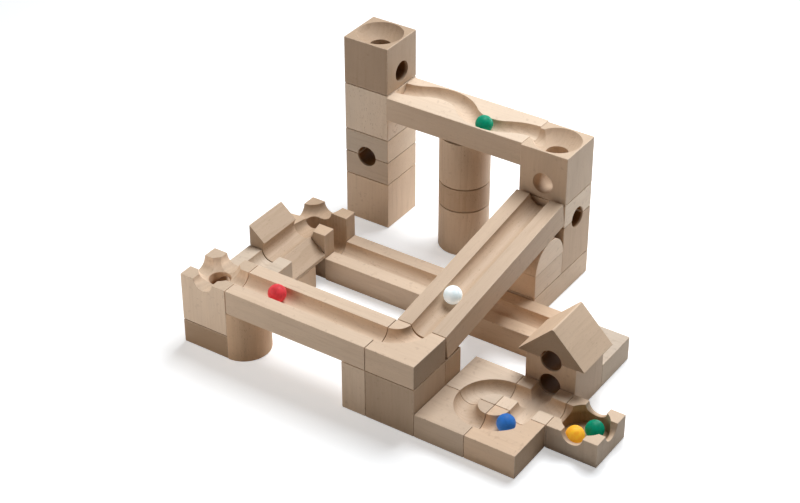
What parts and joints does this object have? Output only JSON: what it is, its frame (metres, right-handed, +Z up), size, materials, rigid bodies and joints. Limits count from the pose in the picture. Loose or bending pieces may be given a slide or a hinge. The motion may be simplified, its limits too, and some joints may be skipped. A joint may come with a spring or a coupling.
{
  "type": "wooden marble run",
  "caption": "Marble run of loose wooden cube-grid blocks: funnel tower, curvy track, leaning ramp, corner, castle blocks, tunnel house, swirl and collecting tray, with glass marbles.",
  "frame": {"origin": "on the table, under the middle of the layout's bounding box", "axes": "+X along the front track towards the collecting tray, +Y from the front track towards the towers, +Z up"},
  "size_m": [0.4, 0.3074, 0.2],
  "materials": {
    "beech": "bare sanded beech",
    "beech_pale": "bare sanded beech, pale",
    "beech_dark": "bare sanded beech, darker",
    "glass_red": "coloured glass, frosted",
    "glass_white": "coloured glass, frosted",
    "glass_green": "coloured glass, frosted",
    "glass_blue": "coloured glass, frosted",
    "glass_yellow": "coloured glass, frosted"
  },
  "bodies": {
    "blocks": {"tower1_foot_cube": "beech", "tower1_tunnel_floor": "beech_pale", "tower1_tunnel_cap": "beech", "tower1_cube": "beech_pale", "funnel_cube": "beech_dark", "curvy_track": "beech", "column_foot": "beech_dark", "column_disc": "beech", "column_top": "beech_dark", "tower2_base_board": "beech", "tower2_tunnel_cube": "beech", "tower2_tunnel_cap": "beech_pale", "drop_cube": "beech", "arch_support": "beech_dark", "arch_block": "beech", "ramp": "beech_pale", "corner_cube": "beech_dark", "corner_prop_left": "beech_dark", "corner_prop_back": "beech_dark", "corner_curve": "beech", "front_track": "beech", "front_leg": "beech_dark", "castle_base": "beech_dark", "castle_drop": "beech", "link_track": "beech_pale", "link_prop": "beech", "wedge_track": "beech", "wedge_support": "beech", "castle_turn": "beech", "lower_track_long": "beech", "lower_track_short": "beech_dark", "end_curve": "beech", "house": "beech", "swirl_front_left": "beech", "swirl_front_right": "beech", "swirl_back_left": "beech_pale", "crossing": "beech", "tray": "beech"},
    "roof_block": {"roof": "beech"},
    "red_ball": {"red_marble": "glass_red"},
    "white_ball": {"white_marble": "glass_white"},
    "green_ball": {"green_marble": "glass_green"},
    "blue_ball": {"blue_marble": "glass_blue"},
    "yellow_ball": {"yellow_marble": "glass_yellow"},
    "tray_green_ball": {"tray_green_marble": "glass_green"}
  },
  "joints": [
    {"name": "red_roll", "type": "slide", "parent": "blocks", "child": "red_ball", "axis": [1, 0, 0], "range_m": [-0.051, 0.11]},
    {"name": "white_roll", "type": "slide", "parent": "blocks", "child": "white_ball", "axis": [0, 0.9895, 0.1444], "range_m": [-0.046, 0.142]},
    {"name": "green_roll", "type": "hinge", "parent": "blocks", "child": "green_ball", "pos_m": [-0.04598, 0.15316, 0.1483], "axis": [0, 0, 1], "range_deg": [-43, 32.5]},
    {"name": "blue_roll", "type": "hinge", "parent": "blocks", "child": "blue_ball", "pos_m": [0.1, -0.10371, 0.0233], "axis": [0, 0, 1], "range_deg": [-234, 36]},
    {"name": "yellow_lift", "type": "slide", "parent": "blocks", "child": "yellow_ball", "axis": [0, 0, 1], "range_m": [0, 0.06]},
    {"name": "tray_green_lift", "type": "slide", "parent": "blocks", "child": "tray_green_ball", "axis": [0, 0, 1], "range_m": [0, 0.06]},
    {"name": "roof_lift", "type": "slide", "parent": "blocks", "child": "roof_block", "axis": [0, 0, 1], "range_m": [0, 0.05]}
  ]
}
